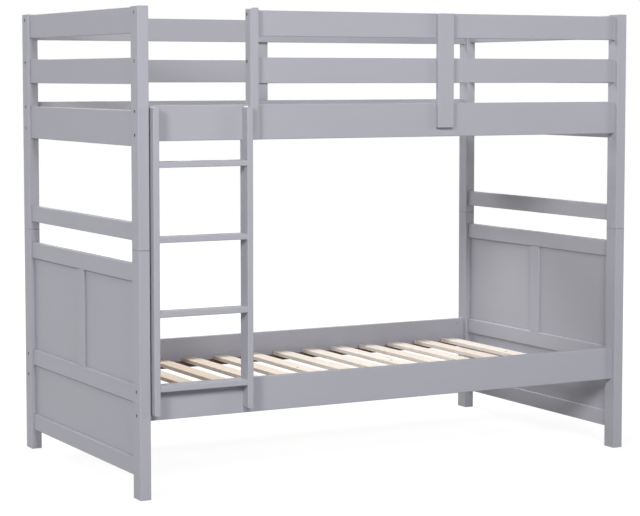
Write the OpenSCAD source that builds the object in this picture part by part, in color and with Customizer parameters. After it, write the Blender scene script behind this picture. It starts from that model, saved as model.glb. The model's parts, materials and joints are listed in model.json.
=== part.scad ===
// Stacked twin bunk bed in painted wood: a lower bed, an upper bed that stands over it on four pins,
// and a fixed ladder. Millimetres, +Z up, +X along the bed, -Y is the ladder side.
// The origin is on the floor under the centre of the whole.

/* [Overall] */
// Length over the posts
bed_l = 2000; // [1900:10:2140]
// Width over the posts, without the ladder
bed_w = 1104; // [1000:4:1560]
// Height of the lower posts, floor to seam
lower_post_h = 840; // [780:5:900]
// Height of the upper posts, seam to top
upper_post_h = 810; // [760:5:900]

/* [Posts] */
// Post thickness along the bed
post_x = 40; // [34:1:50]
// Post width across the bed
post_y = 60; // [52:1:75]
// Rounding of long edges on posts and boards
edge_r = 3; // [1.5:0.5:5]
// Rounding of the ends of posts
end_r = 2; // [1:0.5:3]

/* [Boards] */
// Thickness of all rails
board_t = 22; // [18:1:26]
// Height of the side rails and of the wide end rails
side_h = 120; // [100:1:140]
// Height of the guard rails and of the upper end rails in line with them
guard_h = 88; // [70:1:95]
// Height of the narrow rails in the ends
slim_h = 60; // [50:1:70]
// Distance of the end rails behind the outer face of the posts
end_recess = 8; // [5:0.5:10]

/* [Levels of the lower bed] */
// Underside of the lower side rails
lower_side_z = 264; // [240:2:290]
// Underside of the bottom end rail
foot_h = 75; // [60:1:100]
// Underside of the middle end rail
middle_rail_z = 324; // [290:1:350]
// From the top of the lower posts down to the top end rail
head_drop = 48; // [20:1:70]

/* [Levels of the upper bed] */
// From the seam up to the underside of the upper side rails
upper_side_rise = 362; // [330:2:400]
// From the seam up to the narrow end rail
narrow_rise = 30; // [20:1:60]
// The wide end rail hangs this far below the side rails
wide_drop = 17; // [0:1:30]
// From the top of the posts down to the crest rail
crest_drop = 2; // [2:1:12]
// Gap between the crest rail and the rail below it
crest_gap = 80; // [60:1:90]
// From the top of the posts down to the top guard rail
guard_drop = 8; // [3:1:15]
// Gap between the two guard rails
guard_gap = 72; // [60:1:80]

/* [Framed ends] */
// Width of the centre stile
stile_w = 60; // [50:1:80]
// Thickness of the panels
panel_t = 5; // [4:0.5:8]
// Depth of the grooves that hold the panels
groove_d = 8; // [6:0.5:8]
// Room left for the panels to move at the bottom of the grooves
panel_gap = 1; // [0.5:0.5:2]
// Length of the tenons on the end rails and the stile
tenon_l = 16; // [12:1:18]
// Thickness of the tenons
tenon_t = 10; // [9:0.5:12]
// Shoulder above and below each tenon
shoulder = 8; // [8:1:12]

/* [Slats] */
// Number of slats on each bed
slat_count = 14; // [10:1:16]
// Slat width
slat_w = 60; // [50:1:80]
// Slat thickness
slat_t = 15; // [12:1:20]
// From the inner face of the posts to the first slat
slat_inset = 58; // [20:1:80]
// From the end of a slat to the side rail
slat_end_gap = 8; // [3:0.5:10]
// From the top edge of the side rails down to the slats
slat_drop = 79; // [60:1:80]
// Rounding of the slat edges
slat_r = 2; // [1:0.5:4]
// Ledger height
ledger_h = 20; // [18:1:25]
// Ledger width
ledger_w = 25; // [22:1:35]

/* [Ladder side] */
// Opening between the left post and the guard post
ladder_opening = 375; // [340:5:420]
// Gap between the left post and the ladder
ladder_gap_left = 5; // [2:0.5:8]
// Gap between the ladder and the guard post
ladder_gap_right = 1.5; // [1:0.5:4]
// Thickness of the ladder stiles
stile_t = 22; // [20:1:30]
// The ladder stands this far in front of the posts
ladder_proud = 22; // [15:1:30]
// Full depth of the stiles between the two side rails
stile_depth = 58; // [48:1:62]
// Length of the lower cheeks in front of the lower side rail
lower_cheek = 100; // [80:1:110]
// The top of the stiles is this far below the top of the side rail
stile_top_drop = 5; // [0:1:15]
// Rounding at the top of the stiles and of the guard post
top_r = 7; // [4:0.5:9]
// Running gap between the lower cheeks and the lower side rail
cheek_gap = 0.5; // [0.3:0.1:1]
// Rung thickness
rung_h = 20; // [18:1:28]
// From the top rung up to the underside of the upper side rail
rung_top_gap = 67; // [40:1:90]
// The rungs are let into the stiles by this much
rung_let_in = 6; // [3:0.5:8]
// The rungs lie this far behind the front and back of the stiles
rung_set_back = 2; // [1:0.5:5]

/* [Guard post and centre boards] */
// Guard post width along the bed
guard_post_x = 32; // [28:1:40]
// Guard post depth
guard_post_y = 41; // [36:0.5:46]
// Width of the centre boards
centre_w = 66; // [50:1:90]
// Thickness of the centre boards
centre_t = 18; // [14:0.5:18.5]
// The centre boards end this far above the underside of the side rail
centre_lift = 32; // [20:1:45]
// The front centre board stands this far to the right of the middle of the bed
centre_offset = 199; // [150:1:250]

/* [Fasteners] */
// Diameter of the bolts
bolt_d = 6; // [5:0.5:6]
// Diameter of the bolt heads
bolt_head_d = 12; // [10:0.5:13]
// Height of the bolt heads
bolt_head_h = 4; // [3:0.5:5]
// Width of the sockets in the bolt heads, corner to corner
socket_d = 5.5; // [4:0.5:6]
// Depth of the sockets in the bolt heads
socket_depth = 2.5; // [1.5:0.5:2.5]
// Depth of the bolt heads below the wood
bolt_sink = 2; // [1:0.5:4]
// Clearance round bolts and their heads
bolt_clear = 0.5; // [0.25:0.25:0.75]
// Bolts stand this far from the edges of the side rails
bolt_edge = 20; // [18:1:30]
// Ladder and guard post bolts stand this far from the edges of the upper side rail
cheek_bolt_edge = 42; // [38:1:48]
// Bolts stand this far below the top edge of the guard rails
guard_bolt_drop = 14; // [12:1:30]
// Barrel nut diameter
nut_d = 10; // [8:0.5:11]
// Barrel nut length
nut_l = 16; // [14:0.5:17]
// From the end of a rail to its barrel nut
nut_inset = 38; // [25:1:50]
// Length of bolt past the barrel nut
bolt_tail = 8; // [6:1:12]
// Stacking pin diameter
pin_d = 10; // [8:0.5:12]
// Stacking pin length in each post
pin_l = 50; // [40:1:60]
// Radial clearance of the pins in the upper posts
pin_clear = 0.3; // [0.2:0.05:0.5]
// Wood screw diameter
screw_d = 4; // [3:0.5:4.5]
// Wood screw head diameter
screw_head_d = 8; // [7:0.5:9]

/* [Hidden] */
$fn = 48;
eps = 1;                                        // overrun of a cut past the face it starts from

// Overall places: the ladder stands proud, so the bed sits behind the origin by half of that
front_y = -(bed_w + ladder_proud) / 2 + ladder_proud;
rear_y = front_y + bed_w;
mid_y = front_y + bed_w / 2;
left_x = -bed_l / 2;
inner_x = left_x + post_x;                      // inner face of the left posts
clear_l = bed_l - 2 * post_x;                   // length between the posts
seam_z = lower_post_h;
top_z = lower_post_h + upper_post_h;
rail_y = (post_y - board_t) / 2;                // side rails are centred in the posts

// Levels
upper_side_z = seam_z + upper_side_rise;
head_rail_z = seam_z - head_drop - slim_h;
narrow_z = seam_z + narrow_rise;
wide_z = upper_side_z - wide_drop;
crest_z = top_z - crest_drop - guard_h;
second_z = crest_z - crest_gap - guard_h;
guard_top_z = top_z - guard_drop - guard_h;
guard_mid_z = guard_top_z - guard_gap - guard_h;

// Ends: end rails stand between the inner faces of the posts
end_len = bed_w - 2 * post_y;
end_cx = end_recess + board_t / 2;              // centre plane of the end frames, from the post face

// Slats
slat_pitch = (clear_l - 2 * slat_inset - slat_w) / (slat_count - 1);
slat_x = [for (i = [0 : slat_count - 1]) inner_x + slat_inset + i * slat_pitch];
slat_l = bed_w - 2 * (rail_y + board_t + slat_end_gap);
slat_grip = ledger_w - slat_end_gap;            // width of slat that lies on a ledger
slat_screw_y = rail_y + board_t + slat_end_gap + slat_grip / 2;
ledger_screw_count = 6;
ledger_screw_x = [for (i = [0 : ledger_screw_count - 1])
    slat_x[0] + slat_w + (slat_pitch - slat_w) / 2
    + floor(i * (slat_count - 2) / (ledger_screw_count - 1)) * slat_pitch];

// Ladder side
guard_post_left = inner_x + ladder_opening;
guard_rail_left = guard_post_left + guard_post_x;
guard_rail_len = left_x + bed_l - post_x - guard_rail_left;
stile_x = [inner_x + ladder_gap_left, guard_post_left - ladder_gap_right - stile_t];
cheek_d = ladder_proud + rail_y;                // depth of the stile in front of a side rail
stile_bottom_z = lower_side_z + side_h - lower_cheek;
stile_top_z = upper_side_z + side_h - stile_top_drop;
lower_side_top = lower_side_z + side_h;
low_rung_z = lower_side_top - rung_h;           // the lowest rung is level with the lower side rail
rung_count = 4;
top_rung_z = upper_side_z - rung_top_gap - rung_h;
rung_pitch = (top_rung_z - low_rung_z) / (rung_count - 1);
rung_depth = stile_depth - 2 * rung_set_back;
low_rung_depth = cheek_d - cheek_gap - rung_set_back;
rung_len = stile_x[1] - stile_x[0] - stile_t + 2 * rung_let_in;

// Centre boards
centre_z = upper_side_z + centre_lift;
centre_h = guard_top_z + guard_h - centre_z;
centre_in = rail_y - centre_t;                  // front face of the board, from the post face

// Fasteners
head_seat = bolt_sink + bolt_head_h;            // depth of a counterbore
screw_head_h = (screw_head_d - screw_d) / 2;
side_bolt_z = [bolt_edge, side_h - bolt_edge];
lower_bolt_z = [for (z = side_bolt_z) lower_side_z + z];
upper_bolt_z = [for (z = side_bolt_z) upper_side_z + z];
cheek_bolt_z = [for (z = [cheek_bolt_edge, side_h - cheek_bolt_edge]) upper_side_z + z];
guard_bolt_z = [for (z = [guard_top_z, guard_mid_z]) z + guard_h - guard_bolt_drop];
rung_screw_places = [0.25, 0.75];               // places of the two screws across a rung
rung_screw_in = 38;                             // the screws reach this far past the piece that they hold
rung_screw_l = stile_t + rung_screw_in;
ledger_screw_in = 15;
ledger_screw_l = ledger_w + ledger_screw_in;
slat_screw_in = 17;
slat_screw_l = slat_t + slat_screw_in;
board_screw_in = 12;
board_screw_l = board_t + board_screw_in;
cheek_bolt_in = 25;                             // bolts reach this far into the ladder
cheek_bolt_l = board_t - head_seat + cheek_bolt_in;
lap_bolt_in = 14;                               // and these this far, where the guard post laps the side rail
lap_bolt_l = board_t - head_seat + lap_bolt_in;
board_screw_z = [
    centre_z + (side_h - centre_lift) / 2,
    guard_mid_z + guard_h / 2,
    guard_top_z + guard_h / 2];

paint = [0.68, 0.69, 0.72];
pine = [0.90, 0.80, 0.66];
dark_steel = [0.35, 0.35, 0.37];
zinc = [0.75, 0.76, 0.78];

// ---- Shapes that repeat ----

// Rectangle with rounded corners, its low corner at the origin
module eased_rect(w, h, r) {
    translate([r, 0]) square([w - 2 * r, h]);
    translate([0, r]) square([w, h - 2 * r]);
    for (x = [r, w - r], y = [r, h - r]) translate([x, y]) circle(r);
}

// Boards with rounded long edges, along each axis, low corner at the origin
module board_x(l, y, z, r = edge_r) rotate([90, 0, 90]) linear_extrude(l) eased_rect(y, z, r);
module board_y(l, x, z, r = edge_r)
    translate([0, l, 0]) rotate([90, 0, 0]) linear_extrude(l) eased_rect(x, z, r);
module board_z(l, x, y, r = edge_r) linear_extrude(l) eased_rect(x, y, r);

// Upright with rounded long edges and rounded ends
module upright(x, y, z, r_end) {
    intersection() {
        board_z(z, x, y);
        board_x(x, y, z, r_end);
        board_y(y, x, z, r_end);
    }
}

// Cylinders along +X and +Y from the origin
module rod_x(d, l) rotate([0, 90, 0]) cylinder(d = d, h = l);
module rod_y(d, l) rotate([-90, 0, 0]) cylinder(d = d, h = l);

// A piece modelled at the front left corner of the bed, placed at any of the four
module at_corner(right, rear) {
    translate([right ? -left_x : left_x, rear ? rear_y : front_y, 0])
        mirror([right ? 1 : 0, 0, 0]) mirror([0, rear ? 1 : 0, 0]) children();
}

// A piece modelled at the left end, placed at either end
module at_end(right) {
    translate([right ? -left_x : left_x, 0, 0]) mirror([right ? 1 : 0, 0, 0]) children();
}

// A piece modelled along the front side, placed on either side
module at_side(rear) {
    translate([0, rear ? rear_y : front_y, 0]) mirror([0, rear ? 1 : 0, 0]) children();
}

// Bolt along +X: its head starts at the origin, with a hexagon socket
module bolt(l) {
    difference() {
        union() {
            rod_x(bolt_head_d, bolt_head_h);
            rod_x(bolt_d, bolt_head_h + l);
        }
        translate([-eps, 0, 0]) rotate([0, 90, 0])
            cylinder(d = socket_d, h = eps + socket_depth, $fn = 6);
    }
}

// Hole for a bolt that starts at the surface x = 0 and runs l past its head's seat
module bolt_hole(l) {
    translate([-eps, 0, 0]) rod_x(bolt_head_d + 2 * bolt_clear, eps + head_seat);
    rod_x(bolt_d + 2 * bolt_clear, head_seat + l);
}

// Countersunk wood screw pointing down from the origin
module screw(l) {
    translate([0, 0, -screw_head_h]) cylinder(d1 = screw_d, d2 = screw_head_d, h = screw_head_h);
    translate([0, 0, -l]) cylinder(d = screw_d, h = l);
}

// ---- Framed lower ends ----

// Tenon at the low end of a rail that runs along +Y, for a rail of height h
module rail_tenon(h) {
    translate([end_cx - tenon_t / 2, -tenon_l, shoulder]) cube([tenon_t, tenon_l, h - 2 * shoulder]);
}

// End rail from post to post with a tenon at each end, z is its underside
module end_rail(z, h) {
    translate([0, front_y + post_y, z]) {
        translate([end_recess, 0, 0]) board_y(end_len, board_t, h);
        rail_tenon(h);
        translate([0, end_len, 0]) mirror([0, 1, 0]) rail_tenon(h);
    }
}

// Space or panel between the frame members, grown by e on all four edges
module panel_block(y0, y1, z0, z1, e) {
    translate([end_cx - panel_t / 2, y0 - e, z0 - e]) cube([panel_t, y1 - y0 + 2 * e, z1 - z0 + 2 * e]);
}

module upper_panel_blocks(e) {
    z0 = middle_rail_z + slim_h;
    panel_block(front_y + post_y, mid_y - stile_w / 2, z0, head_rail_z, e);
    panel_block(mid_y + stile_w / 2, rear_y - post_y, z0, head_rail_z, e);
}

module low_panel_block(e) {
    panel_block(front_y + post_y, rear_y - post_y, foot_h + slim_h, middle_rail_z, e);
}

module panel_grooves() {
    upper_panel_blocks(groove_d);
    low_panel_block(groove_d);
}

module stile_tenon(z) {
    translate([end_cx - tenon_t / 2, mid_y - stile_w / 2 + shoulder, z])
        cube([tenon_t, stile_w - 2 * shoulder, tenon_l]);
}

module stile_tenons() {
    stile_tenon(middle_rail_z + slim_h - tenon_l);
    stile_tenon(head_rail_z);
}

module head_rail(right) {
    color(paint) at_end(right) difference() {
        end_rail(head_rail_z, slim_h);
        panel_grooves();
        stile_tenons();
    }
}

module middle_rail(right) {
    color(paint) at_end(right) difference() {
        end_rail(middle_rail_z, slim_h);
        panel_grooves();
        stile_tenons();
    }
}

module bottom_rail(right) {
    color(paint) at_end(right) difference() {
        end_rail(foot_h, slim_h);
        panel_grooves();
    }
}

module head_stile(right) {
    z0 = middle_rail_z + slim_h;
    color(paint) at_end(right) difference() {
        union() {
            translate([end_recess, mid_y - stile_w / 2, z0]) board_z(head_rail_z - z0, board_t, stile_w);
            stile_tenons();
        }
        panel_grooves();
    }
}

module head_panels(right) color(paint) at_end(right) upper_panel_blocks(groove_d - panel_gap);

module low_panel(right) color(paint) at_end(right) low_panel_block(groove_d - panel_gap);

// ---- Open upper ends ----

module upper_end_rail(right, z, h) color(paint) at_end(right) end_rail(z, h);

// ---- Posts, modelled at the front left corner ----

// Mortise for the tenon of an end rail, z is the underside of the rail
module mortise(z, h) {
    translate([end_cx - tenon_t / 2, post_y - tenon_l, z + shoulder])
        cube([tenon_t, tenon_l + eps, h - 2 * shoulder]);
}

module post_bolt_holes(levels) {
    for (z = levels) translate([0, post_y / 2, z]) bolt_hole(post_x);
}

module lower_post(right, rear) {
    color(paint) at_corner(right, rear) difference() {
        upright(post_x, post_y, lower_post_h, end_r);
        for (z = [head_rail_z, middle_rail_z, foot_h]) mortise(z, slim_h);
        translate([0, -front_y, 0]) panel_grooves();
        post_bolt_holes(lower_bolt_z);
        translate([post_x / 2, post_y / 2, seam_z - pin_l]) cylinder(d = pin_d, h = pin_l + eps);
    }
}

module upper_post(right, rear) {
    color(paint) at_corner(right, rear) difference() {
        translate([0, 0, seam_z]) upright(post_x, post_y, upper_post_h, end_r);
        for (z = [crest_z, second_z]) mortise(z, guard_h);
        mortise(wide_z, side_h);
        mortise(narrow_z, slim_h);
        post_bolt_holes(upper_bolt_z);
        if (right || rear) post_bolt_holes(guard_bolt_z);
        translate([post_x / 2, post_y / 2, seam_z - eps])
            cylinder(d = pin_d + 2 * pin_clear, h = eps + pin_l + eps);
    }
}

module stacking_pins() {
    color(zinc) for (right = [false, true], rear = [false, true]) at_corner(right, rear)
        translate([post_x / 2, post_y / 2, seam_z - pin_l]) {
            cylinder(d = pin_d, h = 2 * pin_l - pin_d / 4);
            translate([0, 0, 2 * pin_l - pin_d / 4]) cylinder(d1 = pin_d, d2 = pin_d / 2, h = pin_d / 4);
        }
}

// ---- Side rails and guard rails, modelled along the front ----

// Bolt and barrel nut holes in the left end of a rail that starts at x = 0, on the height z
module rail_end_holes(z) {
    translate([-eps, post_y / 2, z]) rod_x(bolt_d + 2 * bolt_clear, eps + nut_inset + bolt_tail);
    translate([nut_inset, (post_y - nut_l) / 2, z]) rod_y(nut_d, (board_t + nut_l) / 2 + eps);
}

// Rail from x, l long, with bolt holes on the heights in levels at both ends
module bolted_rail(x, l, z, h, levels) {
    difference() {
        translate([x, rail_y, z]) board_x(l, board_t, h);
        for (level = levels) {
            translate([x, 0, 0]) rail_end_holes(level);
            translate([x + l, 0, 0]) mirror([1, 0, 0]) rail_end_holes(level);
        }
    }
}

module lower_side_rail(rear) {
    color(paint) at_side(rear) difference() {
        bolted_rail(inner_x, clear_l, lower_side_z, side_h, lower_bolt_z);
        ledger_screws(lower_side_z);
    }
}

module upper_side_rail(rear) {
    color(paint) at_side(rear) difference() {
        bolted_rail(inner_x, clear_l, upper_side_z, side_h, upper_bolt_z);
        ledger_screws(upper_side_z);
        board_screws(rear);
        if (!rear) ladder_bolt_holes();
    }
}

module guard_rail_rear(z) {
    color(paint) at_side(true) difference() {
        bolted_rail(inner_x, clear_l, z, guard_h, [z + guard_h - guard_bolt_drop]);
        board_screws(true);
    }
}

module guard_rail_front(z) {
    color(paint) at_side(false) difference() {
        bolted_rail(guard_rail_left, guard_rail_len, z, guard_h, [z + guard_h - guard_bolt_drop]);
        board_screws(false);
    }
}

// ---- Ledgers and slats; z is the underside of the side rail ----

function slat_z(z) = z + side_h - slat_drop - slat_t;

module ledger_screws(z) {
    for (x = ledger_screw_x)
        translate([x, rail_y + board_t + ledger_w, slat_z(z) - ledger_h / 2])
            rotate([-90, 0, 0]) screw(ledger_screw_l);
}

module slat_screws(z) {
    for (x = slat_x) translate([x + slat_w / 2, slat_screw_y, slat_z(z) + slat_t]) screw(slat_screw_l);
}

module ledgers(z) {
    color(pine) for (rear = [false, true]) at_side(rear) difference() {
        translate([inner_x, rail_y + board_t, slat_z(z) - ledger_h])
            board_x(clear_l, ledger_w, ledger_h, slat_r);
        ledger_screws(z);
        slat_screws(z);
    }
}

module slats(z) {
    color(pine) difference() {
        for (x = slat_x) translate([x, mid_y - slat_l / 2, slat_z(z)])
            board_y(slat_l, slat_w, slat_t, slat_r);
        for (rear = [false, true]) at_side(rear) slat_screws(z);
    }
}

module all_slat_screws(z) {
    color(zinc) for (rear = [false, true]) at_side(rear) {
        slat_screws(z);
        ledger_screws(z);
    }
}

// ---- Ladder side, modelled along the front ----

// Side profile of a ladder stile, drawn as depth behind the ladder's front and height
module stile_profile() {
    polygon([
        [0, stile_bottom_z], [cheek_d - cheek_gap, stile_bottom_z],
        [cheek_d - cheek_gap, lower_side_top], [stile_depth, lower_side_top],
        [stile_depth, upper_side_z], [cheek_d, upper_side_z],
        [cheek_d, stile_top_z], [0, stile_top_z]]);
}

// Depth of rung n: the lowest one lies in front of the lower side rail
function depth_of_rung(n) = n == 1 ? low_rung_depth : rung_depth;

module rung(n) {
    translate([stile_x[0] + stile_t - rung_let_in, rung_set_back - ladder_proud,
               low_rung_z + (n - 1) * rung_pitch])
        board_x(rung_len, depth_of_rung(n), rung_h);
}

// Screws through a stile into the rungs, along +X from the outer face of the left stile
module rung_screws_left() {
    for (n = [1 : rung_count], f = rung_screw_places)
        translate([stile_x[0], rung_set_back - ladder_proud + f * depth_of_rung(n),
                   low_rung_z + (n - 1) * rung_pitch + rung_h / 2])
            rotate([0, -90, 0]) screw(rung_screw_l);
}

// The same screws on both stiles
module rung_screws() {
    centre = (stile_x[0] + stile_x[1] + stile_t) / 2;
    rung_screws_left();
    translate([2 * centre, 0, 0]) mirror([1, 0, 0]) rung_screws_left();
}

// Bolts along -Y through the upper side rail: two into each stile and two into the guard post
module ladder_bolt_places() {
    for (x = stile_x, z = cheek_bolt_z)
        translate([x + stile_t / 2, rail_y + board_t, z]) rotate([0, 0, -90]) children();
}

module guard_bolt_places() {
    for (z = cheek_bolt_z)
        translate([guard_post_left + guard_post_x / 2, rail_y + board_t, z]) rotate([0, 0, -90]) children();
}

module ladder_bolt_holes() {
    ladder_bolt_places() bolt_hole(cheek_bolt_l);
    guard_bolt_places() bolt_hole(lap_bolt_l);
}

module ladder_stile(right) {
    color(paint) at_side(false) difference() {
        translate([stile_x[right ? 1 : 0], -ladder_proud, 0]) intersection() {
            rotate([90, 0, 90]) linear_extrude(stile_t) stile_profile();
            translate([0, 0, stile_bottom_z])
                board_z(stile_top_z - stile_bottom_z, stile_t, stile_depth);
            translate([0, 0, stile_bottom_z])
                board_y(stile_depth, stile_t, stile_top_z - stile_bottom_z, top_r);
        }
        for (n = [1 : rung_count]) rung(n);
        rung_screws();
        ladder_bolt_holes();
    }
}

module ladder_rung(n) {
    color(paint) at_side(false) difference() {
        rung(n);
        rung_screws();
    }
}

// The guard post laps over the front of the side rail and stands on its top edge
module guard_post() {
    color(paint) at_side(false) difference() {
        translate([guard_post_left, 0, upper_side_z]) intersection() {
            board_z(top_z - upper_side_z, guard_post_x, guard_post_y);
            board_y(guard_post_y, guard_post_x, top_z - upper_side_z, top_r);
        }
        translate([guard_post_left - eps, rail_y, upper_side_z - eps])
            cube([guard_post_x + 2 * eps, guard_post_y, side_h + eps]);
        for (z = guard_bolt_z) translate([guard_post_left, post_y / 2, z]) bolt_hole(guard_post_x);
        ladder_bolt_holes();
    }
}

// ---- Centre boards ----

// Screws along -Y through the rails into the boards
module board_screws(rear) {
    for (z = board_screw_z, side = [-1, 1])
        translate([(rear ? 0 : centre_offset) + side * centre_w / 4, rail_y + board_t, z])
            rotate([-90, 0, 0]) screw(board_screw_l);
}

module centre_board(rear) {
    x = (rear ? 0 : centre_offset) - centre_w / 2;
    color(paint) at_side(rear) difference() {
        translate([x, centre_in, centre_z]) upright(centre_w, centre_t, centre_h, end_r);
        board_screws(rear);
    }
}

// ---- Bolts and barrel nuts, modelled at the front left corner ----

module corner_bolts(levels) {
    for (z = levels) translate([bolt_sink, post_y / 2, z])
        bolt(post_x - head_seat + nut_inset + bolt_tail);
}

module corner_nuts(x, levels) {
    for (z = levels) difference() {
        translate([x + nut_inset, (post_y - nut_l) / 2, z]) rod_y(nut_d, nut_l);
        translate([x, post_y / 2, z]) rod_x(bolt_d, nut_inset + bolt_tail);
    }
}

// Bolt through the guard post into the end of each front guard rail
module guard_post_bolts() {
    at_side(false) for (z = guard_bolt_z) translate([guard_post_left + bolt_sink, post_y / 2, z])
        bolt(guard_post_x - head_seat + nut_inset + bolt_tail);
}

module rail_bolts_lower() {
    color(dark_steel) for (right = [false, true], rear = [false, true])
        at_corner(right, rear) corner_bolts(lower_bolt_z);
}

module barrel_nuts_lower() {
    color(zinc) for (right = [false, true], rear = [false, true])
        at_corner(right, rear) corner_nuts(post_x, lower_bolt_z);
}

module rail_bolts_upper() {
    color(dark_steel) {
        for (right = [false, true], rear = [false, true]) at_corner(right, rear) {
            corner_bolts(upper_bolt_z);
            if (right || rear) corner_bolts(guard_bolt_z);
        }
        guard_post_bolts();
    }
}

module barrel_nuts_upper() {
    color(zinc) {
        for (right = [false, true], rear = [false, true]) at_corner(right, rear) {
            corner_nuts(post_x, upper_bolt_z);
            if (right || rear) corner_nuts(post_x, guard_bolt_z);
        }
        at_side(false) corner_nuts(guard_rail_left, guard_bolt_z);
    }
}

module ladder_bolts() {
    color(dark_steel) at_side(false) {
        ladder_bolt_places() translate([bolt_sink, 0, 0]) bolt(cheek_bolt_l);
        guard_bolt_places() translate([bolt_sink, 0, 0]) bolt(lap_bolt_l);
    }
}

module all_board_screws() {
    color(zinc) for (rear = [false, true]) at_side(rear) board_screws(rear);
}

lower_post(false, false);  // post_lower_front_left
lower_post(true, false);  // post_lower_front_right
lower_post(false, true);  // post_lower_rear_left
lower_post(true, true);  // post_lower_rear_right
head_rail(false);  // head_rail_left
head_rail(true);  // head_rail_right
head_stile(false);  // head_stile_left
head_stile(true);  // head_stile_right
middle_rail(false);  // middle_rail_left
middle_rail(true);  // middle_rail_right
bottom_rail(false);  // bottom_rail_left
bottom_rail(true);  // bottom_rail_right
head_panels(false);  // head_panels_left
head_panels(true);  // head_panels_right
low_panel(false);  // low_panel_left
low_panel(true);  // low_panel_right
lower_side_rail(false);  // side_rail_lower_front
lower_side_rail(true);  // side_rail_lower_rear
ledgers(lower_side_z);  // ledgers_lower
slats(lower_side_z);  // slats_lower
all_slat_screws(lower_side_z);  // slat_screws_lower
rail_bolts_lower();
barrel_nuts_lower();
stacking_pins();
upper_post(false, false);  // post_upper_front_left
upper_post(true, false);  // post_upper_front_right
upper_post(false, true);  // post_upper_rear_left
upper_post(true, true);  // post_upper_rear_right
upper_end_rail(false, crest_z, guard_h);  // crest_rail_left
upper_end_rail(true, crest_z, guard_h);  // crest_rail_right
upper_end_rail(false, second_z, guard_h);  // second_rail_left
upper_end_rail(true, second_z, guard_h);  // second_rail_right
upper_end_rail(false, wide_z, side_h);  // wide_rail_left
upper_end_rail(true, wide_z, side_h);  // wide_rail_right
upper_end_rail(false, narrow_z, slim_h);  // narrow_rail_left
upper_end_rail(true, narrow_z, slim_h);  // narrow_rail_right
upper_side_rail(false);  // side_rail_upper_front
upper_side_rail(true);  // side_rail_upper_rear
ledgers(upper_side_z);  // ledgers_upper
slats(upper_side_z);  // slats_upper
all_slat_screws(upper_side_z);  // slat_screws_upper
guard_rail_front(guard_top_z);  // guard_rail_top_front
guard_rail_rear(guard_top_z);  // guard_rail_top_rear
guard_rail_front(guard_mid_z);  // guard_rail_mid_front
guard_rail_rear(guard_mid_z);  // guard_rail_mid_rear
guard_post();
centre_board(false);  // centre_board_front
centre_board(true);  // centre_board_rear
ladder_stile(false);  // ladder_stile_left
ladder_stile(true);  // ladder_stile_right
ladder_rung(1);  // ladder_rung_1
ladder_rung(2);  // ladder_rung_2
ladder_rung(3);  // ladder_rung_3
ladder_rung(4);  // ladder_rung_4
rail_bolts_upper();
barrel_nuts_upper();
color(dark_steel) at_side(false) rung_screws();
ladder_bolts();
all_board_screws();  // board_screws
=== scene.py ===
import json
import math

import bmesh
import bpy
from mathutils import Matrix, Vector


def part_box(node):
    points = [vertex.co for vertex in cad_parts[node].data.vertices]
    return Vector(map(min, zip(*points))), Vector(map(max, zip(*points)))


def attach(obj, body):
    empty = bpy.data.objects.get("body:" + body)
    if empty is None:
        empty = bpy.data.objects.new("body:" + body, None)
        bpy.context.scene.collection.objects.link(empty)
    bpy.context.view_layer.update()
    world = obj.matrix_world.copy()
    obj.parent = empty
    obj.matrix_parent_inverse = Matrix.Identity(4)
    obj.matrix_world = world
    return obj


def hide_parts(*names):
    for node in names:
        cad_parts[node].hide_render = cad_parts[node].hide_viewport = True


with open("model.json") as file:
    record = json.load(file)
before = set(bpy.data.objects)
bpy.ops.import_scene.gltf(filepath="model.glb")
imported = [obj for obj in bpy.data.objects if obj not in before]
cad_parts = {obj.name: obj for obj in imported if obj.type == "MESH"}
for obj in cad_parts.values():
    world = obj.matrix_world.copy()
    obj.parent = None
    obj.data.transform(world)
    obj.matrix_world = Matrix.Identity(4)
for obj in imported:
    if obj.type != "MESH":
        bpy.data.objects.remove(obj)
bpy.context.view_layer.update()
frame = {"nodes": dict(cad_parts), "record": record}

print("bed frame loaded:", len(frame["nodes"]), "nodes")

# Camera at the photograph's angle, metres and degrees
cameraView = {
    "place": (-3.5326, -6.4609, 1.4165),
    "yaw": 28.509,  # turned from +Y towards +X
    "pitch": 4.208,  # looks down
    "lens": 109.28,
    "sensor": 36.0,
    "shiftY": -0.06,
    "clipEnd": 200.0,
}

# Large soft boxes far from the bed: two in front, a low one at the right and two high ones behind
studio = {
    "aim": (0.0, 0.0, 0.85),
    "boxes": {
        "keyBox": {"azimuth": -12.0, "elevation": 27.0, "distance": 8.0, "size": 1.9, "watts": 300.0},
        "leftBox": {"azimuth": -54.0, "elevation": 20.0, "distance": 10.0, "size": 2.0, "watts": 400.0},
        "rightBox": {"azimuth": 62.0, "elevation": 12.0, "distance": 8.0, "size": 2.0, "watts": 115.0},
        "rearBox": {"azimuth": 180.0, "elevation": 46.0, "distance": 8.0, "size": 3.0, "watts": 480.0},
        "rearLeftBox": {"azimuth": -142.0, "elevation": 38.0, "distance": 8.0, "size": 2.4, "watts": 200.0},
    },
    "roomPaint": (1.0, 1.0, 1.0, 1.0),
    "roomLight": 0.02,
    "backdropLight": 1.0,
    "floorSize": 60.0,
    "floorPaint": (0.40, 0.40, 0.40, 1.0),
    "floorSeen": (0.16, 0.16, 0.16, 1.0),
    "floorGlow": (0.90, 1.0),  # under the bed and far from it
    "glowReach": (1.5, 5.0),
}


def makeObject(name, shape):
    mesh = bpy.data.meshes.new(name)
    shape.to_mesh(mesh)
    shape.free()
    piece = bpy.data.objects.new(name, mesh)
    bpy.context.scene.collection.objects.link(piece)
    return piece


def setInput(tree, socket, value):
    if isinstance(value, bpy.types.NodeSocket):
        tree.links.new(value, socket)
    else:
        socket.default_value = value


def addNode(tree, kind, inputs=None, **settings):
    node = tree.nodes.new("ShaderNode" + kind)
    for name, value in settings.items():
        setattr(node, name, value)
    for name, value in (inputs or {}).items():
        setInput(tree, node.inputs[name], value)
    return node


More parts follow.
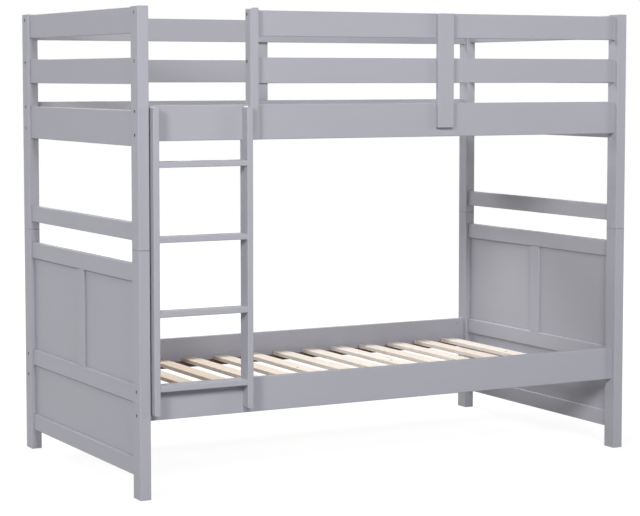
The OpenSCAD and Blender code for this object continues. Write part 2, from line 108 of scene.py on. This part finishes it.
def doMath(tree, operation, first, second=0.0):
    return addNode(tree, "Math", {0: first, 1: second}, operation=operation).outputs[0]


def distanceTo(tree, value, line):
    return doMath(tree, "ABSOLUTE", doMath(tree, "SUBTRACT", value, line))


def remap(tree, value, fromLow, fromHigh, toLow, toHigh):
    inputs = {"Value": value, "From Min": fromLow, "From Max": fromHigh, "To Min": toLow, "To Max": toHigh}
    return addNode(tree, "MapRange", inputs).outputs["Result"]


def mixColours(tree, share, first, second):
    mix = addNode(tree, "Mix", {0: share, 6: first, 7: second}, data_type="RGBA")  # 6 and 7 are its colours
    return mix.outputs[2]


def addNoise(tree, place, scale=1.0, detail=2.0, roughness=0.5, distortion=0.0):
    inputs = {"Vector": place, "Scale": scale, "Detail": detail,
              "Roughness": roughness, "Distortion": distortion}
    return addNode(tree, "TexNoise", inputs).outputs["Fac"]


def addBump(tree, height, depth, under=None):
    inputs = {"Height": height, "Distance": depth, "Strength": 1.0}
    if under:
        inputs["Normal"] = under
    return addNode(tree, "Bump", inputs).outputs["Normal"]


def objectPlace(tree):
    return addNode(tree, "TexCoord").outputs["Object"]


def stretchedPlace(tree, axis, along, across, place=None):
    scale = [across] * 3
    scale["xyz".index(axis)] = along
    inputs = {"Vector": place or objectPlace(tree), "Scale": scale}
    return addNode(tree, "Mapping", inputs).outputs["Vector"]


def emptyTree(owner):
    owner.use_nodes = True
    owner.node_tree.nodes.clear()
    return owner.node_tree


def startMaterial(name):
    material = bpy.data.materials.new(name)
    tree = emptyTree(material)
    shader = addNode(tree, "BsdfPrincipled")
    addNode(tree, "OutputMaterial", {"Surface": shader.outputs["BSDF"]})
    return material, tree, shader


def makeCamera(view):
    data = bpy.data.cameras.new("photoCamera")
    data.lens = view["lens"]
    data.sensor_width = view["sensor"]
    data.shift_y = view["shiftY"]
    data.clip_end = view["clipEnd"]
    camera = bpy.data.objects.new("photoCamera", data)
    camera.location = view["place"]
    camera.rotation_euler = (math.radians(90.0 - view["pitch"]), 0.0, math.radians(-view["yaw"]))
    bpy.context.scene.collection.objects.link(camera)
    bpy.context.scene.camera = camera


def backgroundRay(tree):
    path = addNode(tree, "LightPath").outputs
    seen = doMath(tree, "ADD", path["Is Camera Ray"], path["Is Glossy Ray"])
    seen = doMath(tree, "ADD", seen, path["Is Transmission Ray"])
    return doMath(tree, "MINIMUM", seen, 1.0)


def makeRoom(values):
    world = bpy.data.worlds.new("paleRoom")
    tree = emptyTree(world)
    strength = remap(tree, backgroundRay(tree), 0.0, 1.0, values["roomLight"], values["backdropLight"])
    background = addNode(tree, "Background", {"Color": values["roomPaint"], "Strength": strength})
    addNode(tree, "OutputWorld", {"Surface": background.outputs["Background"]})
    bpy.context.scene.world = world


def makeFloor(values):
    shape = bmesh.new()
    bmesh.ops.create_grid(shape, x_segments=1, y_segments=1, size=values["floorSize"] / 2)
    floor = makeObject("studioFloor", shape)

    material = bpy.data.materials.new("studioFloorPaint")
    tree = emptyTree(material)
    lit = addNode(tree, "BsdfDiffuse", {"Color": values["floorPaint"]})
    seen = addNode(tree, "BsdfDiffuse", {"Color": values["floorSeen"]})
    reach = addNode(tree, "VectorMath", {0: objectPlace(tree)}, operation="LENGTH").outputs["Value"]
    strength = remap(tree, reach, *values["glowReach"], *values["floorGlow"])
    glow = addNode(tree, "Emission", {"Strength": strength})
    shown = addNode(tree, "AddShader", {0: seen.outputs[0], 1: glow.outputs[0]})
    mixed = addNode(tree, "MixShader", {0: backgroundRay(tree), 1: lit.outputs[0], 2: shown.outputs[0]})
    addNode(tree, "OutputMaterial", {"Surface": mixed.outputs[0]})
    floor.data.materials.append(material)


def makeSoftBox(name, values, aim):
    azimuth = math.radians(values["azimuth"])
    elevation = math.radians(values["elevation"])
    towards = Vector((math.sin(azimuth) * math.cos(elevation),
                      -math.cos(azimuth) * math.cos(elevation),
                      math.sin(elevation)))
    data = bpy.data.lights.new(name, "AREA")
    data.shape = "SQUARE"
    data.size = values["size"]
    data.energy = values["watts"]
    lamp = bpy.data.objects.new(name, data)
    lamp.location = Vector(aim) + towards * values["distance"]
    lamp.rotation_euler = towards.to_track_quat("Z", "Y").to_euler()
    bpy.context.scene.collection.objects.link(lamp)


bpy.context.scene.view_settings.view_transform = "Standard"
makeCamera(cameraView)
makeRoom(studio)
makeFloor(studio)
for boxName, boxValues in studio["boxes"].items():
    makeSoftBox(boxName, boxValues, studio["aim"])
print("camera, room and soft boxes placed")


noiseSpread = (0.3, 0.7)  # most of a noise lies between these values

# Satin grey paint over planed wood; the grain runs along the board and shows only a little
greyPaint = {
    "light": (0.421, 0.424, 0.474, 1.0),
    "dark": (0.401, 0.403, 0.452, 1.0),
    "patchScale": 2.2,
    "patchShare": 0.7,
    "roughness": (0.42, 0.52),
    "specular": 0.42,
    "grain": {"detail": 3.0, "roughness": 0.55, "distortion": 0.4},
    "grainAcross": 120.0,
    "grainAlong": 3.0,
    "grainShare": 0.3,
    "grainDepth": 0.00010,
    "sprayScale": 420.0,
    "sprayDepth": 0.000035,
}

shadeLineColour = (0.060, 0.060, 0.070, 1.0)  # of the fine dark lines of painted shade at the post seams and panel joints

# Where the upper posts stand on the lower ones, a fine dark line of painted shade runs round each post,
# standing in for the shade in the groove between their eased ends
postSeamShade = {
    "height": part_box("post_upper_front_left")[0].z,
    "reach": (0.0010, 0.0018),
    "share": 0.85,
}

# Painted shade where the panels of the left end go into their frame: a band under each rail for the rail's
# shadow, and fine dark lines beside the uprights for the shade in those corners
panelShade = {
    "reach": {"Z": (0.0036, 0.0056), "Y": (0.0014, 0.0026)},
    "share": 0.55,
}
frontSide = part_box("post_lower_front_left")[1].y
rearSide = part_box("post_lower_rear_left")[0].y
stileLow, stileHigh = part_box("head_stile_left")
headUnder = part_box("head_rail_left")[0].z
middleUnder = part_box("middle_rail_left")[0].z
panelEdges = {
    "head_panels_left": {"Z": (headUnder,), "Y": (frontSide, stileLow.y, stileHigh.y, rearSide)},
    "low_panel_left": {"Z": (middleUnder,), "Y": (frontSide, rearSide)},
}


# Painted shade: darkens the paint in a fine line at the seam height, on the upright faces only
def addSeamShade(tree, colour, values):
    coordinates = addNode(tree, "TexCoord").outputs
    height = addNode(tree, "SeparateXYZ", {"Vector": coordinates["Object"]}).outputs["Z"]
    facing = addNode(tree, "SeparateXYZ", {"Vector": coordinates["Normal"]}).outputs["Z"]
    near = remap(tree, distanceTo(tree, height, values["height"]), *values["reach"], values["share"], 0.0)
    upright = doMath(tree, "SUBTRACT", 1.0, doMath(tree, "ABSOLUTE", facing))  # keeps it off the cut ends
    return mixColours(tree, doMath(tree, "MULTIPLY", near, upright), colour, shadeLineColour)


# Painted shade: darkens the panel near each given line
def addPanelShade(tree, colour, edges, values):
    place = addNode(tree, "SeparateXYZ", {"Vector": objectPlace(tree)}).outputs
    share = 0.0
    for axis, lines in edges.items():
        for line in lines:
            away = distanceTo(tree, place[axis], line)
            near = remap(tree, away, *values["reach"][axis], values["share"], 0.0)
            share = doMath(tree, "MAXIMUM", near, share)
    return mixColours(tree, share, colour, shadeLineColour)


def makePaint(name, axis, values, seamShade=None, edges=None):
    material, tree, shader = startMaterial(name)
    grainPlace = stretchedPlace(tree, axis, values["grainAlong"], values["grainAcross"])
    grain = addNoise(tree, grainPlace, **values["grain"])
    patches = addNoise(tree, objectPlace(tree), values["patchScale"])
    spray = addNoise(tree, objectPlace(tree), values["sprayScale"])
    patchPart = doMath(tree, "MULTIPLY", patches, values["patchShare"])
    grainPart = doMath(tree, "MULTIPLY", grain, values["grainShare"])
    shade = remap(tree, doMath(tree, "ADD", patchPart, grainPart), *noiseSpread, 0.0, 1.0)
    colour = mixColours(tree, shade, values["dark"], values["light"])
    # Painted shade: a dark line at the post seam
    if seamShade:
        colour = addSeamShade(tree, colour, seamShade)
    # Painted shade along the panel edges, under the rails and beside the uprights
    if edges:
        colour = addPanelShade(tree, colour, edges, panelShade)
    grainBump = addBump(tree, grain, values["grainDepth"])
    setInput(tree, shader.inputs["Base Color"], colour)
    setInput(tree, shader.inputs["Roughness"], remap(tree, spray, *noiseSpread, *values["roughness"]))
    setInput(tree, shader.inputs["Specular IOR Level"], values["specular"])
    setInput(tree, shader.inputs["Normal"], addBump(tree, spray, values["sprayDepth"], grainBump))
    return material


def paintPlan(node):
    if node in panelEdges:
        return node
    if node.startswith("post"):
        return "post"
    if node.startswith(("side_rail", "guard_rail", "ladder_rung")):
        return "x"
    if node.startswith(("head_stile", "guard_post", "centre_board", "ladder_stile")):
        return "z"
    return "y"


def dress(node, material):
    mesh = frame["nodes"][node].data
    mesh.materials.clear()
    mesh.materials.append(material)


paints = {axis: makePaint("greyPaint_" + axis, axis, greyPaint) for axis in "xyz"}
paints["post"] = makePaint("greyPaint_post", "z", greyPaint, seamShade=postSeamShade)
for panelName, panelSides in panelEdges.items():
    paints[panelName] = makePaint("greyPaint_" + panelName, "y", greyPaint, edges=panelSides)
slots = {part["node"]: part["material_slot"] for part in frame["record"]["subparts"]}
for nodeName, slotName in slots.items():
    if slotName == "grey_paint":
        dress(nodeName, paints[paintPlan(nodeName)])
print("paint on")


# The front left post is drilled for guard rails as the other posts are, but the ladder opening leaves it bare
spareHoles = {
    "post": "post_upper_front_left",
    "rails": ("guard_rail_top_front", "guard_rail_mid_front"),
    "belowEdge": 0.014,  # under the top edge of a rail
    "headWide": 0.013,
    "headDeep": 0.006,
    "boreWide": 0.007,
    "boreDeep": 0.034,
    "start": -0.010,  # outside the wood
    "steps": 48,
    "weld": 0.00001,  # points closer than this become one
}


def addDrill(shape, place, values):
    outline = (
        (values["start"], 0.0),
        (values["start"], values["headWide"] / 2),
        (values["headDeep"], values["headWide"] / 2),
        (values["headDeep"], values["boreWide"] / 2),
        (values["boreDeep"], values["boreWide"] / 2),
        (values["boreDeep"], 0.0),
    )
    points = [shape.verts.new(place + Vector((along, 0.0, out))) for along, out in outline]
    edges = [shape.edges.new(pair) for pair in zip(points, points[1:])]
    bmesh.ops.spin(shape, geom=points + edges, cent=place, axis=(1.0, 0.0, 0.0),
                   angle=2 * math.pi, steps=values["steps"], use_merge=True)


def makeDrills(values):
    low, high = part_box(values["post"])
    drills = bmesh.new()
    for railName in values["rails"]:
        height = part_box(railName)[1].z - values["belowEdge"]
        addDrill(drills, Vector((low.x, (low.y + high.y) / 2, height)), values)
    bmesh.ops.remove_doubles(drills, verts=drills.verts, dist=values["weld"])
    bmesh.ops.recalc_face_normals(drills, faces=drills.faces)
    return makeObject("postDrills", drills)


def drillPost(values):
    name = values["post"]
    drills = makeDrills(values)
    wood = bmesh.new()
    wood.from_mesh(frame["nodes"][name].data)
    bmesh.ops.remove_doubles(wood, verts=wood.verts, dist=values["weld"])
    post = makeObject(name + "_drilled", wood)
    holes = post.modifiers.new("holes", "BOOLEAN")
    holes.operation = "DIFFERENCE"
    holes.solver = "EXACT"
    holes.object = drills
    bpy.context.view_layer.update()
    cutPost = post.evaluated_get(bpy.context.evaluated_depsgraph_get())
    drilled = bpy.data.meshes.new_from_object(cutPost)
    post.modifiers.clear()
    post.data = drilled
    bpy.data.objects.remove(drills)
    drilled.shade_flat()
    drilled.materials.clear()
    drilled.materials.append(paints["post"])
    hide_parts(name)
    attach(post, "upper_bed")


drillPost(spareHoles)
print("spare holes drilled")


# Planed pine: every slat is a board of its own, with its own tint and grain and a knot here and there
pine = {
    "pale": (0.93, 0.88, 0.81, 1.0),
    "tan": (0.63, 0.49, 0.37, 1.0),
    "chanceShare": 0.30,
    "slatShadeShare": (0.90, 0.0),  # painted shade: the boards near the ladder and the left end, which shade them, are darker
    "slatShadeReach": (-0.9, 0.0),
    "lateWood": (0.60, 0.43, 0.28, 1.0),
    "lateFrom": 0.55,  # of each ring, from its inside
    "lateShare": 0.46,
    "knot": (0.26, 0.14, 0.07, 1.0),
    "knotsPerMetre": 8.0,
    "knotSize": (0.035, 0.075),
    "knotPull": 0.10,  # bends the rings round a knot
    "pullReach": 0.30,
    "boardShift": 7.0,
    "rings": {"detail": 1.0, "distortion": 0.6},
    "ringScale": (1.1, 26.0),  # along and across the board
    "ringCount": 26.0,
    "fibreScale": (14.0, 900.0),
    "fibreSeen": (0.45, 0.75),
    "fibreShare": 0.24,
    "fibreDepth": 0.00012,
    "roughness": (0.42, 0.58),
    "specular": 0.35,
}

# The ledgers are coloured a near-black brown as painted shade under the slats, so the rear ends of the gaps
# look dark over them
ledgerShadePine = {
    **pine,
    "pale": (0.150, 0.085, 0.050, 1.0),
    "tan": (0.105, 0.056, 0.032, 1.0),
    "lateWood": (0.060, 0.032, 0.018, 1.0),
    "knot": (0.030, 0.016, 0.010, 1.0),
}

boards = {
    "slatCount": 14,
    "slatWide": 0.060,
    "ledgerZone": 0.5,  # on either side of the middle line, so each ledger is a board of its own
    "seeds": {"lower": 3.0, "upper": 41.0},
    "ledgerSeed": 20.0,
}


def makePine(name, axis, pitch, start, seed, values):
    material, tree, shader = startMaterial(name)
    place = addNode(tree, "SeparateXYZ", {"Vector": objectPlace(tree)}).outputs
    offset = doMath(tree, "SUBTRACT", place[axis], start)
    number = doMath(tree, "FLOOR", doMath(tree, "DIVIDE", offset, pitch))
    number = doMath(tree, "ADD", number, seed)
    chance = addNode(tree, "TexWhiteNoise", {"W": number}, noise_dimensions="1D").outputs
    shift = (values["boardShift"],) * 3
    moved = addNode(tree, "VectorMath", {0: chance["Color"], 1: shift}, operation="MULTIPLY").outputs[0]
    own = addNode(tree, "VectorMath", {0: objectPlace(tree), 1: moved}, operation="ADD").outputs[0]

    knots = addNode(tree, "TexVoronoi", {"Vector": own, "Scale": values["knotsPerMetre"]}).outputs["Distance"]
    knotShare = remap(tree, knots, *values["knotSize"], 1.0, 0.0)
    pull = remap(tree, knots, 0.0, values["pullReach"], values["knotPull"], 0.0)

    along = "y" if axis == "X" else "x"
    ringPlace = stretchedPlace(tree, along, *values["ringScale"], own)
    rings = doMath(tree, "ADD", addNoise(tree, ringPlace, **values["rings"]), pull)
    bands = doMath(tree, "FRACT", doMath(tree, "MULTIPLY", rings, values["ringCount"]))
    late = remap(tree, bands, values["lateFrom"], 1.0, 0.0, values["lateShare"])
    fibres = addNoise(tree, stretchedPlace(tree, along, *values["fibreScale"], own))
    fibreShare = remap(tree, fibres, *values["fibreSeen"], 0.0, values["fibreShare"])

    # Painted shade: darker towards the ladder end; the random part below is each board's own tint
    slatShadeShare = remap(tree, place["X"], *values["slatShadeReach"], *values["slatShadeShare"])
    chanceShare = doMath(tree, "MULTIPLY", chance["Value"], values["chanceShare"])
    colour = mixColours(tree, doMath(tree, "ADD", slatShadeShare, chanceShare), values["pale"], values["tan"])
    colour = mixColours(tree, late, colour, values["lateWood"])
    colour = mixColours(tree, fibreShare, colour, values["lateWood"])
    colour = mixColours(tree, knotShare, colour, values["knot"])
    setInput(tree, shader.inputs["Base Color"], colour)
    setInput(tree, shader.inputs["Roughness"], remap(tree, fibres, *noiseSpread, *values["roughness"]))
    setInput(tree, shader.inputs["Specular IOR Level"], values["specular"])
    setInput(tree, shader.inputs["Normal"], addBump(tree, fibres, values["fibreDepth"]))
    return material


def dressBoards(values):
    low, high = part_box("slats_lower")
    pitch = (high.x - low.x - values["slatWide"]) / (values["slatCount"] - 1)
    start = low.x - (pitch - values["slatWide"]) / 2
    zone = values["ledgerZone"]
    for level, seed in values["seeds"].items():
        ledgerSeed = seed + values["ledgerSeed"]
        dress("slats_" + level, makePine("pineSlats_" + level, "X", pitch, start, seed, pine))
        dress("ledgers_" + level, makePine("pineLedgers_" + level, "Y", zone, -zone, ledgerSeed, ledgerShadePine))


dressBoards(boards)
print("pine on")


# Steel: dark bolts, bright nuts, pins and screws
steels = {
    "dark_steel": {"colour": (0.10, 0.10, 0.11, 1.0), "roughness": (0.32, 0.48)},
    "zinc_steel": {"colour": (0.60, 0.61, 0.63, 1.0), "roughness": (0.26, 0.42)},
}
steelCloud = {"scale": 260.0, "detail": 3.0}
steelShade = 0.75  # of the colour, in the darkest places


def makeSteel(name, values):
    material, tree, shader = startMaterial(name)
    cloud = addNoise(tree, objectPlace(tree), **steelCloud)
    darker = tuple(steelShade * part for part in values["colour"][:3]) + (1.0,)
    setInput(tree, shader.inputs["Metallic"], 1.0)
    setInput(tree, shader.inputs["Base Color"], mixColours(tree, cloud, darker, values["colour"]))
    setInput(tree, shader.inputs["Roughness"], remap(tree, cloud, *noiseSpread, *values["roughness"]))
    return material


steelMaterials = {name: makeSteel(name, values) for name, values in steels.items()}
for nodeName, slotName in slots.items():
    if slotName in steelMaterials:
        dress(nodeName, steelMaterials[slotName])
dress("rung_screws", paints["x"])  # these heads are painted over with the stiles
print("steel on")
